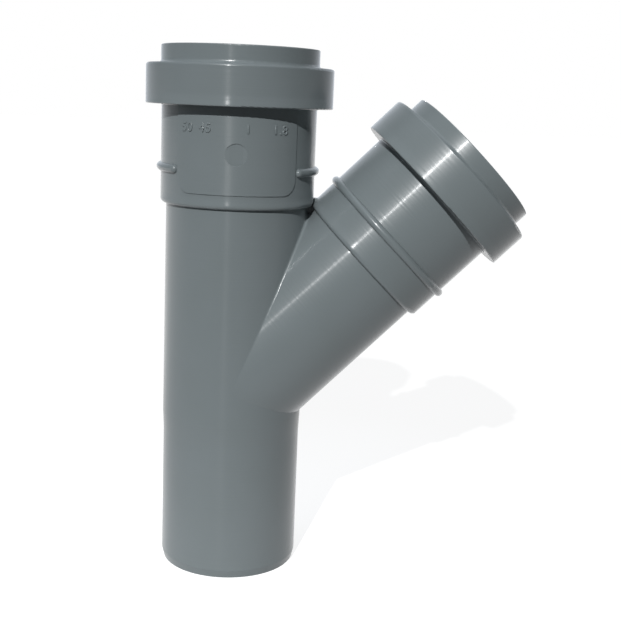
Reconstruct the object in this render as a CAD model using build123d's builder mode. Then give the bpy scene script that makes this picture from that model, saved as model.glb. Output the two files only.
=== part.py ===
"""Lateral wye fitting: a 45 degree branch for push-fit drain pipe.

One moulded body has a plain spigot at the foot of its run and a socket at the top of the run
and at the end of the branch. The bead of each socket holds a rubber lip ring.
Origin: centre of the spigot's end, which is where the fitting stands. +Z runs up the run's axis.
The branch leaves toward +X, and the label panel of the run's socket faces -Y.
"""

import os
from math import cos, radians, sin, tan

from build123d import *

# Tubes, in millimetres
pipe_radius = 25.0  # outside of the pipes that the fitting joins, and of its own spigot
spigot_wall = 1.8
tube_wall = 2.1  # above the spigot, where both tubes are a little stouter
branch_angle = 45.0  # degrees between the two axes
spigot_length = 49.0  # straight part that enters the pipe below, chamfer included
spigot_swell = 7.0  # height over which the spigot swells to the stouter tube
crotch_height = 1.6  # from the end of the swell to the lower crotch
crease_fillet = 0.8  # where the two tubes meet, from their sides up to the upper crotch
web_thickness = 3.0  # of the small web that closes the upper crotch
web_rise = 2.9  # from the height of the run's shoulder up to the web's flat top
spigot_chamfer = 2.8  # along the axis
spigot_chamfer_angle = 15.0  # degrees off the axis

# Socket
neck = 3.5  # tube left between the upper crotch and a socket's shoulder
socket_wall = 2.0
pipe_clearance = 0.3  # between a pipe and the socket's bore, on the radius
body_height = 34.2  # from the shoulder to the underside of the bead
shoulder_roundness = 0.8  # share of the shoulder's step that is rounded over
mouth_clearance = 0.7  # between a pipe and the mouth, on the radius
mouth_chamfer = 1.0

# Bead that holds the rubber ring
groove_depth = 5.75  # from the socket's bore out to the groove's floor
bead_height = 13.8
bead_wall = 1.8
bead_corner = 0.9
bead_foot_corner = 0.4
groove_corner = 1.0
lip_height = 6.3
lip_wall = 2.0
lip_foot = 1.2
edge_break = 0.4

# Rubber lip ring
ring_clearance = 0.1  # between the ring and its groove
ring_heel = 1.6  # thickness of the heel that lies in the groove
ring_top = 1.8  # thickness of the ring where the lip springs from the heel
ring_lip_wall = 1.2
ring_lip_drop = 6.6  # from the top of the heel down to the lip's tip
ring_lip_clearance = 0.1  # between the lip, drawn as it lies on a pipe, and that pipe

# Raised rib around each socket
rib_height = 12.6  # above the shoulder
rib_radius = 1.5
rib_gap = 4.0  # degrees from the panel's edge to the centre of the rib's round end

# Label panel on the front of the run's socket
panel_half_width = 46.5  # degrees each side of -Y
panel_rise = 0.35
panel_foot = 5.0  # above the shoulder
panel_corner = 5.5
gate_mark_radius = 3.75
gate_mark_height = 18.5  # above the shoulder
gate_mark_depth = 0.3

# Places that follow from the sizes
waterway = pipe_radius - spigot_wall
tube_radius = waterway + tube_wall
lower_crotch = tube_radius * tan(radians(branch_angle) / 2)
upper_crotch = tube_radius / tan(radians(branch_angle) / 2)
crotch = spigot_length + spigot_swell + crotch_height
crossing = crotch + lower_crotch  # height of the point where the axes cross
shoulder = upper_crotch + neck  # from the crossing, along either axis
bead_start = shoulder + body_height
bead_end = bead_start + bead_height
mouth = bead_end + lip_height
socket_bore = pipe_radius + pipe_clearance
socket_radius = socket_bore + socket_wall
pipe_stop = shoulder + tube_wall  # where the end of a pipe comes to rest
mouth_bore = pipe_radius + mouth_clearance
lip_radius = mouth_bore + lip_wall
groove_radius = socket_bore + groove_depth
bead_radius = groove_radius + bead_wall
groove_start = bead_start + bead_wall
groove_end = bead_end - bead_wall
panel_radius = socket_radius + panel_rise
rib_half_gap = panel_half_width + rib_gap
chamfer_depth = spigot_chamfer * tan(radians(spigot_chamfer_angle))
cut_margin = 5.0  # how far a cut runs past the face that it opens

# Each arm has a plane whose X points away from its axis and whose Y runs along it
run_plane = Plane(origin=(0, 0, crossing), x_dir=(1, 0, 0), z_dir=(0, -1, 0))
branch_x = (cos(radians(branch_angle)), 0, -sin(radians(branch_angle)))
branch_plane = Plane(origin=(0, 0, crossing), x_dir=branch_x, z_dir=(0, -1, 0))


def arm_axis(plane):
    """The line that an arm's sections are turned about."""
    return Axis(plane.origin, plane.y_dir)


def run_plane_at(degrees):
    """The upright plane through the run's axis, turned from -Y toward +X."""
    turn = radians(degrees)
    return Plane(origin=(0, 0, crossing), x_dir=(sin(turn), -cos(turn), 0), z_dir=(-cos(turn), -sin(turn), 0))


def half_section(plane, points_and_corners):
    """A closed face on an arm's plane. The corner beside each point is the radius that rounds it."""
    points = [point for point, corner in points_and_corners]
    corners = [corner for point, corner in points_and_corners]
    with BuildSketch(plane) as section:
        with BuildLine():
            FilletPolyline(*points, radius=corners, close=True)
        make_face()
    return section.sketch


def outside_section(plane, foot):
    """Half section of an arm's outside. foot holds its points below the shoulder, from the axis outward."""
    points_and_corners = [(point, 0) for point in foot] + [
        ((tube_radius, shoulder), 0),
        ((socket_radius, shoulder), shoulder_roundness * (socket_radius - tube_radius)),
        ((socket_radius, bead_start), bead_foot_corner),
        ((bead_radius, bead_start), bead_foot_corner),
        ((bead_radius, bead_end), bead_corner),
        ((lip_radius, bead_end), lip_foot),
        ((lip_radius, mouth), edge_break),
        ((0, mouth), 0),
    ]
    return half_section(plane, points_and_corners)


def inside_section(plane, foot):
    """Half section of the space inside an arm: waterway, pipe stop, groove for the ring and mouth."""
    points_and_corners = [
        ((0, foot), 0),
        ((waterway, foot), 0),
        ((waterway, pipe_stop), 0),
        ((socket_bore, pipe_stop), 0),
        ((socket_bore, groove_start), 0),
        ((groove_radius, groove_start), groove_corner),
        ((groove_radius, groove_end), groove_corner),
        ((mouth_bore, groove_end), 0),
        ((mouth_bore, mouth - mouth_chamfer), 0),
        ((mouth_bore + mouth_chamfer, mouth), 0),
        ((mouth_bore + mouth_chamfer, mouth + cut_margin), 0),
        ((0, mouth + cut_margin), 0),
    ]
    return half_section(plane, points_and_corners)


def ring_section(plane):
    """Half section of a rubber ring: a heel in the groove and a lip that slants in and down."""
    heel_outside = groove_radius - ring_clearance
    heel_inside = heel_outside - ring_heel
    top = groove_end - ring_clearance
    tip = pipe_radius + ring_lip_clearance
    tip_height = top - ring_lip_drop
    points_and_corners = [
        ((heel_outside, groove_start), groove_corner),
        ((heel_outside, top), groove_corner),
        ((heel_inside - ring_lip_wall, top), 0),
        ((tip, tip_height + ring_lip_wall), 0),
        ((tip, tip_height), 0),
        ((tip + ring_lip_wall, tip_height), 0),
        ((heel_inside, top - ring_top), 0),
        ((heel_inside, groove_start), 0),
    ]
    return half_section(plane, points_and_corners)


# Label panel: a thin pad that wraps the front of the run's socket, with its lower corners rounded.
# It starts inside the socket's wall and ends inside the bead.
with BuildPart() as label_panel:
    panel_thickness = panel_rise + socket_wall / 2
    panel_height = body_height + bead_wall / 2 - panel_foot
    with BuildSketch(run_plane_at(-panel_half_width)):
        with Locations((panel_radius, shoulder + panel_foot)):
            Rectangle(panel_thickness, panel_height, align=(Align.MAX, Align.MIN))
    revolve(axis=Axis.Z, revolution_arc=2 * panel_half_width)
    lower_corners = edges().filter_by(GeomType.LINE).group_by(Axis.Z)[0]
    fillet(lower_corners, radius=panel_corner)

# Rib of the run's socket: an open ring with a round end each side of the panel
with BuildPart() as run_rib:
    with BuildSketch(run_plane_at(rib_half_gap)):
        with Locations((socket_radius, shoulder + rib_height)):
            Circle(rib_radius)
    revolve(axis=Axis.Z, revolution_arc=360 - 2 * rib_half_gap)
    for end in (-rib_half_gap, rib_half_gap):
        with Locations(run_plane_at(end).from_local_coords((socket_radius, shoulder + rib_height, 0))):
            Sphere(rib_radius)

with BuildPart() as wye_body:
    # Outside of the run, with the spigot at its foot
    spigot_end_height = -crossing
    spigot_top = spigot_end_height + spigot_length
    run_foot = [
        (0, spigot_end_height),
        (pipe_radius, spigot_end_height),
        (pipe_radius, spigot_top),
        (tube_radius, spigot_top + spigot_swell),
    ]
    run_outside = outside_section(run_plane, run_foot)
    revolve(run_outside, axis=arm_axis(run_plane))
    spigot_end = faces().sort_by(Axis.Z)[0]
    chamfer(spigot_end.edges(), length=chamfer_depth, length2=spigot_chamfer, reference=spigot_end)

    # Label panel, left without words, and the flat round mark that the moulding gate leaves on it
    add(label_panel.part)
    with BuildSketch(Plane.XZ.offset(panel_radius - gate_mark_depth)):
        with Locations((0, crossing + shoulder + gate_mark_height)):
            Circle(gate_mark_radius)
    extrude(amount=gate_mark_depth + cut_margin, mode=Mode.SUBTRACT)

    # The branch leaves the crossing
    branch_foot = [(0, 0), (tube_radius, 0)]
    branch_outside = outside_section(branch_plane, branch_foot)
    revolve(branch_outside, axis=arm_axis(branch_plane))

    # The tubes' crease is a curve on each side that climbs from the crossing to the upper crotch
    curved_edges = edges().filter_by(GeomType.ELLIPSE)
    creases = curved_edges.filter_by_position(Axis.Z, crossing, crossing + upper_crotch)
    fillet(creases, radius=crease_fillet)

    # Web in the upper crotch: a wedge between the two axes, of which only the tip is left
    # once both passages are cut
    web_top = shoulder + web_rise
    with BuildSketch(run_plane):
        with BuildLine():
            Polyline((0, 0), (web_top * tan(radians(branch_angle)), web_top), (0, web_top), close=True)
        make_face()
    extrude(amount=web_thickness / 2, both=True)

    # Rib around each socket: whole on the branch, stopped with round ends beside the run's panel
    with BuildSketch(branch_plane):
        with Locations((socket_radius, shoulder + rib_height)):
            Circle(rib_radius)
    revolve(axis=arm_axis(branch_plane))
    add(run_rib.part)

    # Inside: both passages meet at the crossing
    run_inside = inside_section(run_plane, foot=-crossing - cut_margin)
    revolve(run_inside, axis=arm_axis(run_plane), mode=Mode.SUBTRACT)
    branch_inside = inside_section(branch_plane, foot=0)
    revolve(branch_inside, axis=arm_axis(branch_plane), mode=Mode.SUBTRACT)

with BuildPart() as run_seal_ring:
    revolve(ring_section(run_plane), axis=arm_axis(run_plane))

with BuildPart() as branch_seal_ring:
    revolve(ring_section(branch_plane), axis=arm_axis(branch_plane))

wye_body.part.label = "wye_body"
run_seal_ring.part.label = "run_seal_ring"
branch_seal_ring.part.label = "branch_seal_ring"

os.makedirs("parts", exist_ok=True)
export_step(wye_body.part, "parts/wye_body.step")
export_step(run_seal_ring.part, "parts/run_seal_ring.step")
export_step(branch_seal_ring.part, "parts/branch_seal_ring.step")
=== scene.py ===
# %% [markdown]
# A push-fit drain wye, dressed for a studio picture
#
# The fitting is one grey moulding: a plain tube that runs straight up into a socket, and a second
# socket on a branch that leaves it at 45 degrees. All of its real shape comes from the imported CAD
# model, so this lesson is about what CAD leaves out: how moulded plastic takes the light, the small
# raised numbers on its label panel, a camera, and a plain white studio.

from math import cos, pi, radians, sin

import bmesh
import bpy
from mathutils import Matrix, Vector


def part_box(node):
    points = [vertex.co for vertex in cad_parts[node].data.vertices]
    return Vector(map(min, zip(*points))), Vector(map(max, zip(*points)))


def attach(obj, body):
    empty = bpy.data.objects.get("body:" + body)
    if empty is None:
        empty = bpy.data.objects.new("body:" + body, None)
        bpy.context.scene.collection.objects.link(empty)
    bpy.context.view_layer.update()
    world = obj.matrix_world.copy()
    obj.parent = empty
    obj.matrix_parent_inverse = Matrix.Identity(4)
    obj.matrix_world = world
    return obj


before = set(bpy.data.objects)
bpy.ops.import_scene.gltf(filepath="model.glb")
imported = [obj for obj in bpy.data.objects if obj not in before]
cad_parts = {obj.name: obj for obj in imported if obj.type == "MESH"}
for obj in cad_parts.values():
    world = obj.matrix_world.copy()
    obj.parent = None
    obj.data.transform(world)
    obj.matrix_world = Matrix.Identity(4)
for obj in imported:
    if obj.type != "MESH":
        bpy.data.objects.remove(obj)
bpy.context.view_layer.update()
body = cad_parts["wye_body"]
rings = [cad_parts["run_seal_ring"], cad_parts["branch_seal_ring"]]
scene = bpy.context.scene
scene.view_settings.view_transform = "Standard"

# %% [markdown]
# The sizes that the looks depend on
#
# Both arms are alike, so one set of lengths, measured from the point where their axes cross, places
# things on either. That point's height is worked out from the run's rubber ring, so that the looks
# follow the model if its foot ever gets longer. The rest repeat the drawing, in metres.

# %% Measure the fitting
MM = 0.001
BRANCH_ANGLE = radians(45)
SOCKET_REACH = 64.58 * MM  # from the crossing to the shoulder where a socket starts
BEAD_REACH = 98.78 * MM  # from the crossing to the lower face of a bead
BEAD_WALL = 1.8 * MM  # between that face and the rubber ring
PANEL_RADIUS = 27.65 * MM  # the label panel's face, from the run's axis
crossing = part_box("run_seal_ring")[0].z - BEAD_WALL - BEAD_REACH
run_axis = Vector((0, 0, 1))
branch_axis = Vector((sin(BRANCH_ANGLE), 0, cos(BRANCH_ANGLE)))
print("the axes cross", round(crossing / MM, 2), "mm above the floor")

# %% [markdown]
# Where the photographer stood
#
# The picture was taken from close by, a little above the fitting, with the camera turned slightly
# and tilted a couple of degrees. A camera points along its own -Z, so it starts out looking
# straight down. Three turns aim it: a roll about its own axis, a lift toward the horizon, and a
# turn about the vertical.

# %% Camera
camera = bpy.data.objects.new("camera", bpy.data.cameras.new("camera"))
scene.collection.objects.link(camera)
camera.data.sensor_width = 36
camera.data.lens = 62.6
look_down, turn, roll = radians(11.17), radians(-2.46), radians(2.35)
aim = (
    Matrix.Rotation(turn, 4, "Z")
    @ Matrix.Rotation(pi / 2 - look_down, 4, "X")
    @ Matrix.Rotation(roll, 4, "Z")
)
stand = Vector((11.2 * MM, -388.0 * MM, crossing + 102.9 * MM))
camera.matrix_world = Matrix.Translation(stand) @ aim
camera.data.clip_start, camera.data.clip_end = 0.01, 20
scene.camera = camera
print("camera stands", round(stand.length, 3), "m from the fitting's foot")

# %% [markdown]
# Building a material from nodes
#
# Every material here is a chain of nodes that ends in one shader. A few helpers keep that chain
# readable: each adds one kind of node and feeds its inputs, either with another node's output or
# with a plain number. A number that is the same all over a surface goes straight to the shader.


# %% Helpers for nodes
def add_node(tree, kind, inputs=None, **settings):
    """A node of one kind, with its settings, fed by other nodes' outputs or by plain values."""
    node = tree.nodes.new("ShaderNode" + kind)
    for name, value in settings.items():
        setattr(node, name, value)
    for name, value in (inputs or {}).items():
        feed(tree, node.inputs[name], value)
    return node


def feed(tree, socket, value):
    if isinstance(value, bpy.types.NodeSocket):
        tree.links.new(value, socket)
    else:
        socket.default_value = value


def new_material(name):
    """An empty material, its node tree, and the socket that its finished shader goes into."""
    material = bpy.data.materials.new(name)
    material.use_nodes = True
    material.node_tree.nodes.clear()
    output = add_node(material.node_tree, "OutputMaterial")
    return material, material.node_tree, output.inputs["Surface"]


print("helpers for nodes are ready")

# %% [markdown]
# Four kinds of node do nearly all the work. Math combines two numbers. Map Range turns a range of
# one number into a range of another. Mix picks one of two values by a factor. Bump tilts the
# surface's normal by a height, so that the light sees relief that the mesh doesn't have.


# %% Helpers for sums, ramps, choices and bumps
def math_node(tree, operation, *values):
    """The result of one sum or comparison."""
    return add_node(tree, "Math", dict(enumerate(values)), operation=operation).outputs[0]


def ramp(tree, value, low_high, result, style="LINEAR"):
    """A value that goes from result[0], at the low input, to result[1], at the high one."""
    inputs = {"Value": value}
    inputs["From Min"], inputs["From Max"] = low_high
    inputs["To Min"], inputs["To Max"] = result
    return add_node(tree, "MapRange", inputs, interpolation_type=style).outputs["Result"]


def choose(tree, kind, factor, otherwise, chosen):
    """`chosen` where the factor is 1 and `otherwise` where it is 0.

    The kind of both is VALUE, VECTOR or RGBA.
    """
    node = add_node(tree, "Mix", {"Factor": factor}, data_type={"VALUE": "FLOAT"}.get(kind, kind))
    pair = [socket for socket in node.inputs if socket.name in ("A", "B") and socket.type == kind]
    for socket, value in zip(pair, (otherwise, chosen)):
        feed(tree, socket, value)
    return [socket for socket in node.outputs if socket.type == kind][0]


def bumped(tree, height, distance, strength=1.0, over=None):
    """A normal tilted by a height, on top of another tilted normal where one is given."""
    node = add_node(tree, "Bump", {"Height": height, "Distance": distance, "Strength": strength})
    if over:
        feed(tree, node.inputs["Normal"], over)
    return node.outputs["Normal"]


print("helpers for sums, ramps, choices and bumps are ready")

# %% [markdown]
# Grey plastic: which arm a point is on
#
# The mould for each arm was turned on a lathe, so its marks run round that arm's own axis, and the
# material has to know which arm it is on. The two arms meet in a crease that lies in two planes
# through the crossing, halfway between the branch and each half of the run. A point belongs to the
# branch when it is on the branch's side of both. Painting a mask by hand would also work, but two
# planes are exact and need no map.

# %% Which arm a point is on
plastic, tree, surface = new_material("grey_plastic")
coordinates = add_node(tree, "TexCoord").outputs["Object"]
from_crossing = add_node(tree, "Mapping", {"Vector": coordinates, "Location": (0, 0, -crossing)})
place = add_node(tree, "SeparateXYZ", {"Vector": from_crossing.outputs[0]}).outputs


def along(lean):
    """How far a point lies from the crossing, in the direction that leans so far from +Z to +X."""
    sideways = math_node(tree, "MULTIPLY", place["X"], sin(lean))
    upward = math_node(tree, "MULTIPLY", place["Z"], cos(lean))
    return math_node(tree, "ADD", sideways, upward)


past_upper_crease = along(BRANCH_ANGLE / 2 + pi / 2)
past_lower_crease = along(BRANCH_ANGLE / 2)
past_both = math_node(tree, "MINIMUM", past_upper_crease, past_lower_crease)
on_branch = math_node(tree, "GREATER_THAN", past_both, 0.0)
along_arm = choose(tree, "VALUE", on_branch, place["Z"], along(BRANCH_ANGLE))
tangent = choose(tree, "VECTOR", on_branch, run_axis, branch_axis)
print("the branch leans", round(branch_axis.angle(run_axis) * 180 / pi), "degrees from the run")

# %% [markdown]
# Its colour and gloss
#
# The plastic is a dusty blue grey. Melted plastic flows and cools unevenly, so the colour drifts a
# little lighter and darker over a few centimetres, and a soft noise does the same. The gloss drifts
# with it. The label panel is the one place with another finish: an insert in the mould made it,
# and left it duller, so no bright line crosses it.

# %% Colour and gloss
DARKER, LIGHTER = (0.161, 0.188, 0.192, 1), (0.181, 0.209, 0.219, 1)
MIDDLE = (0.3, 0.7)  # the range that most of a noise lies in
ROUGHNESS = (0.2, 0.225)
PANEL_DULLNESS = 0.18  # the panel's roughness on top of that
PANEL_MARGIN = 0.2 * MM  # either side of the panel's face
drift = add_node(tree, "TexNoise", {"Vector": coordinates, "Scale": 45, "Detail": 3}).outputs["Fac"]
colour = choose(tree, "RGBA", drift, DARKER, LIGHTER)
drifting_roughness = ramp(tree, drift, MIDDLE, ROUGHNESS)

sideways = add_node(tree, "CombineXYZ", {"X": place["X"], "Y": place["Y"]}).outputs[0]
from_axis = add_node(tree, "VectorMath", {0: sideways}, operation="LENGTH").outputs["Value"]
off_panel = math_node(tree, "ABSOLUTE", math_node(tree, "SUBTRACT", from_axis, PANEL_RADIUS))
at_face = math_node(tree, "LESS_THAN", off_panel, PANEL_MARGIN)
below_bead = math_node(tree, "LESS_THAN", place["Z"], BEAD_REACH)
above_shoulder = math_node(tree, "GREATER_THAN", place["Z"], SOCKET_REACH)
on_socket = math_node(tree, "MULTIPLY", below_bead, above_shoulder)
on_panel = math_node(tree, "MULTIPLY", at_face, on_socket)
added_roughness = math_node(tree, "MULTIPLY", on_panel, PANEL_DULLNESS)
roughness = math_node(tree, "ADD", drifting_roughness, added_roughness)
print("plastic's colour drifts from", DARKER[:3], "to", LIGHTER[:3])

# %% [markdown]
# Its fine relief
#
# Three kinds of relief are too fine for the mesh. The lathe left rings around each arm, a few
# hundredths of a millimetre deep, which are a noise along the arm and nothing across it. The
# mould's steel has a grain of its own. And at the foot of each bead and socket the walls swell by
# 0.6 mm, where thick plastic shrinks less, which catches a short bright tick of light.

# %% Fine relief
MARK_DEPTH = 0.03 * MM
GRAIN_DEPTH = 0.2 * MM
GRAIN_STRENGTH = 0.03
SWELL_HEIGHT = 0.6 * MM
BEFORE_FOOT, PAST_FOOT = 1.2 * MM, 4.2 * MM  # where a swell is whole, and where it has ended
turning = add_node(
    tree, "TexNoise", {"W": along_arm, "Scale": 900, "Detail": 4}, noise_dimensions="1D"
).outputs["Fac"]
marks = bumped(tree, turning, MARK_DEPTH)
grain = add_node(tree, "TexNoise", {"Vector": coordinates, "Scale": 2500}).outputs["Fac"]
grained = bumped(tree, grain, GRAIN_DEPTH, GRAIN_STRENGTH, marks)
swells = [
    ramp(tree, along_arm, (foot - BEFORE_FOOT, foot + PAST_FOOT), (1.0, 0.0), "SMOOTHSTEP")
    for foot in (BEAD_REACH, SOCKET_REACH)
]
swollen = bumped(tree, math_node(tree, "ADD", *swells), SWELL_HEIGHT, 1.0, grained)
print("relief: turning marks, grain and", len(swells), "swells on each arm")

# %% [markdown]
# Its two layers of shine
#
# Turning marks smear a highlight along the arm and leave it very thin across, and a shader copies
# that with anisotropy: its highlight is long in the tangent's direction, which is the arm's axis.
# Around that thin bright line the real fitting has a wider, softer glow. One lobe can't be both,
# so a rough coat over the sharp base adds the glow.

# %% Shader of the plastic
shader = add_node(tree, "BsdfPrincipled", {
    "Base Color": colour,
    "Roughness": roughness,
    "IOR": 1.5,
    "Specular IOR Level": 0.14,
    "Anisotropic": 0.97,
    "Tangent": tangent,
    "Normal": swollen,
    "Coat Weight": 0.75,
    "Coat Roughness": 0.3,
    "Coat Normal": grained,
})
feed(tree, surface, shader.outputs[0])
for slot in body.material_slots:
    slot.material = plastic
print("grey plastic on", body.name, "in", len(body.material_slots), "slots")

# %% [markdown]
# Black rubber for the two sealing rings
#
# The rings hide inside the beads, and only their lips show in the sockets' mouths. Rubber is matt
# and nearly black, with a bloom of lighter dust, so one noise drives both its shade and its
# roughness.

# %% Black rubber
BARE, DUSTY = (0.004, 0.004, 0.0045, 1), (0.011, 0.011, 0.012, 1)
RUBBER_ROUGHNESS = (0.5, 0.7)  # bare and dusty
rubber, tree, surface = new_material("black_rubber")
coordinates = add_node(tree, "TexCoord").outputs["Object"]
bloom = add_node(
    tree, "TexNoise", {"Vector": coordinates, "Scale": 160, "Detail": 4}
).outputs["Fac"]
shader = add_node(tree, "BsdfPrincipled", {
    "Base Color": choose(tree, "RGBA", bloom, BARE, DUSTY),
    "Roughness": ramp(tree, bloom, (0.0, 1.0), RUBBER_ROUGHNESS),
    "IOR": 1.52,
})
feed(tree, surface, shader.outputs[0])
for ring in rings:
    for slot in ring.material_slots:
        slot.material = rubber
print("black rubber on", [ring.name for ring in rings])

# %% [markdown]
# Raised numbers on the label panel
#
# A mould engraver cuts small figures under the bead, and they stand up from the panel by a fraction
# of a millimetre, with rounded edges from the cutter. They could be cut into the CAD body, but so
# many tiny faces would only slow it down. Here each number starts as a flat text with a little
# thickness and a bevel, becomes a mesh, and is wrapped around the run's axis: its width turns into
# an angle, and its thickness into radius.

# %% One wrapped number
NUMBER_HEIGHT = 4.4 * MM
NUMBER_RISE = 0.22 * MM
NUMBER_ROUNDNESS = 0.12 * MM
NUMBER_REACH = 90.2 * MM  # from the crossing to the line that the numbers stand on
number_line = crossing + NUMBER_REACH


def raised_number(figures, degrees):
    """One number as a mesh wrapped on the panel, with its middle this far from -Y toward +X."""
    text = bpy.data.curves.new("number", "FONT")
    text.body = figures
    text.size = NUMBER_HEIGHT
    text.extrude = NUMBER_RISE
    text.bevel_depth = NUMBER_ROUNDNESS
    text.bevel_resolution = 1
    text.offset = -0.5 * NUMBER_ROUNDNESS
    text.space_character = 1.1
    text.align_x = "CENTER"
    flat = bpy.data.objects.new("number", text)
    scene.collection.objects.link(flat)
    bpy.context.view_layer.update()
    mesh = bpy.data.meshes.new_from_object(flat)
    bpy.data.objects.remove(flat)
    for vertex in mesh.vertices:
        width, up, out = vertex.co
        angle = radians(degrees) + width / PANEL_RADIUS
        radius = PANEL_RADIUS + out
        vertex.co = (radius * sin(angle), -radius * cos(angle), number_line + up)
    return mesh


print("numbers stand", round((NUMBER_RISE + NUMBER_ROUNDNESS) / MM, 2), "mm proud of the panel")

# %% [markdown]
# The four numbers say what such a moulding does: the pipe's diameter, the branch's angle, which
# cavity of the mould it came from, and the wall. They are joined into one piece, whose faces are
# then turned outward.

# %% All the numbers
NUMBERS = (("50", -37.0), ("45", -22.5), ("1", 8.0), ("1.8", 31.5))  # each with its degrees
WELD_DISTANCE = 0.002 * MM
joined = bmesh.new()
for figures, degrees in NUMBERS:
    mesh = raised_number(figures, degrees)
    joined.from_mesh(mesh)
    bpy.data.meshes.remove(mesh)
bmesh.ops.remove_doubles(joined, verts=joined.verts, dist=WELD_DISTANCE)
bmesh.ops.recalc_face_normals(joined, faces=joined.faces)
numbers_mesh = bpy.data.meshes.new("panel_numbers")
joined.to_mesh(numbers_mesh)
joined.free()
numbers = bpy.data.objects.new("panel_numbers", numbers_mesh)
scene.collection.objects.link(numbers)
numbers_mesh.materials.append(plastic)
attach(numbers, "root")
print("numbers:", len(numbers_mesh.polygons), "faces")

# %% [markdown]
# White studio floor
#
# The floor is one large sheet under the spigot. A white floor that is lit like the fitting would
# never look quite white, so it glows a little for the camera, and its own colour only adds the
# rest, which leaves a pale shadow where the lamp is hidden. It is lightest around the foot, and so
# it throws some light up the lower tube, as the ground did in the photograph.

# %% Floor
floor_mesh = bpy.data.meshes.new("studio_floor")
sheet = bmesh.new()
bmesh.ops.create_grid(sheet, x_segments=1, y_segments=1, size=6.0)
sheet.to_mesh(floor_mesh)
sheet.free()
floor = bpy.data.objects.new("studio_floor", floor_mesh)
scene.collection.objects.link(floor)
print("floor:", floor.dimensions[0], "m wide")

# %% Paper of the floor
AROUND_FOOT = (0.05, 0.2)  # metres from the run's axis
PAPER_COLOUR = (0.55, 0.16)  # near the foot and far from it
PAPER_GLOW = (0.76, 0.875)  # likewise, for the camera
FRONT_TO_BACK = (-0.4, 0.3)  # metres along Y
MIRRORED_GLOW = (0.05, 0.85)  # in front and behind, for reflections
paper, tree, surface = new_material("studio_paper")
floor_mesh.materials.append(paper)
rays = add_node(tree, "LightPath").outputs
spot = add_node(tree, "TexCoord").outputs["Object"]
from_foot = add_node(tree, "VectorMath", {0: spot}, operation="LENGTH").outputs["Value"]
depth = add_node(tree, "SeparateXYZ", {"Vector": spot}).outputs["Y"]
in_gloss = math_node(
    tree, "MULTIPLY", rays["Is Glossy Ray"], ramp(tree, depth, FRONT_TO_BACK, MIRRORED_GLOW)
)
in_view = math_node(
    tree, "MULTIPLY", rays["Is Camera Ray"], ramp(tree, from_foot, AROUND_FOOT, PAPER_GLOW)
)
glow = add_node(tree, "Emission", {"Strength": math_node(tree, "ADD", in_gloss, in_view)})
lit = add_node(tree, "BsdfDiffuse", {"Color": ramp(tree, from_foot, AROUND_FOOT, PAPER_COLOUR)})
both = add_node(tree, "AddShader", {0: lit.outputs[0], 1: glow.outputs[0]})
feed(tree, surface, both.outputs[0])
print("paper has", len(tree.nodes), "nodes")

# %% [markdown]
# Lamps
#
# One strong lamp stands high behind the camera, a little to the left, like the sun in a yard: it
# draws a crisp shadow under each bead and a thin line of light along each arm. A second, softer
# one lights the back, which the photograph doesn't show. It is hidden from reflections, so that it
# draws no bright rim around the front.


# %% Lamps
HIGH_IN_FRONT = (-0.213, -0.823, 0.527)
LOW_BEHIND = (0.0, 0.97, 0.26)


def far_lamp(name, energy, width, toward):
    """A lamp so far off that its light is parallel, like the sun's. Its width is in degrees."""
    lamp = bpy.data.objects.new(name, bpy.data.lights.new(name, "SUN"))
    scene.collection.objects.link(lamp)
    lamp.data.energy = energy
    lamp.data.angle = radians(width)
    lamp.rotation_mode = "QUATERNION"
    lamp.rotation_quaternion = Vector(toward).to_track_quat("Z", "Y")
    print(name, "has energy", energy)
    return lamp


far_lamp("key_light", 2.9, 0.8, HIGH_IN_FRONT)
back_light = far_lamp("back_light", 1.8, 10.0, LOW_BEHIND)
back_light.visible_glossy = False

# %% [markdown]
# Sky
#
# The sky fills the shadows with a faint blue light from the left and from straight above. The
# camera sees it as plain white. Reflections see it white only overhead and far behind the fitting,
# so the edges that turn away get a pale rim, and the front keeps its own colour.

# %% Sky
FILL_COLOUR, WHITE = (0.86, 0.92, 1.0, 1), (1, 1, 1, 1)
sky = bpy.data.worlds.new("studio_sky")
scene.world = sky
sky.use_nodes = True
tree = sky.node_tree
tree.nodes.clear()
rays = add_node(tree, "LightPath").outputs
direction = add_node(tree, "TexCoord").outputs["Generated"]
toward = add_node(tree, "SeparateXYZ", {"Vector": direction}).outputs
from_left = ramp(tree, toward["X"], (-1.0, -0.35), (0.6, 0.0))
from_above = ramp(tree, toward["Z"], (0.5, 1.0), (0.0, 0.5))
fill = math_node(tree, "ADD", from_left, from_above)
behind = ramp(tree, toward["Y"], (0.4, 1.0), (0.08, 1.0))
overhead = ramp(tree, toward["Z"], (0.7, 0.95), (0.0, 1.0))
mirrored = math_node(tree, "MAXIMUM", behind, overhead)
seen = math_node(tree, "MAXIMUM", rays["Is Camera Ray"], rays["Is Transmission Ray"])
strength = choose(tree, "VALUE", rays["Is Glossy Ray"], fill, mirrored)
backdrop = add_node(tree, "Background", {
    "Strength": choose(tree, "VALUE", seen, strength, 1.0),
    "Color": choose(tree, "RGBA", seen, FILL_COLOUR, WHITE),
})
feed(tree, add_node(tree, "OutputWorld").inputs["Surface"], backdrop.outputs[0])
print("sky has", len(tree.nodes), "nodes")
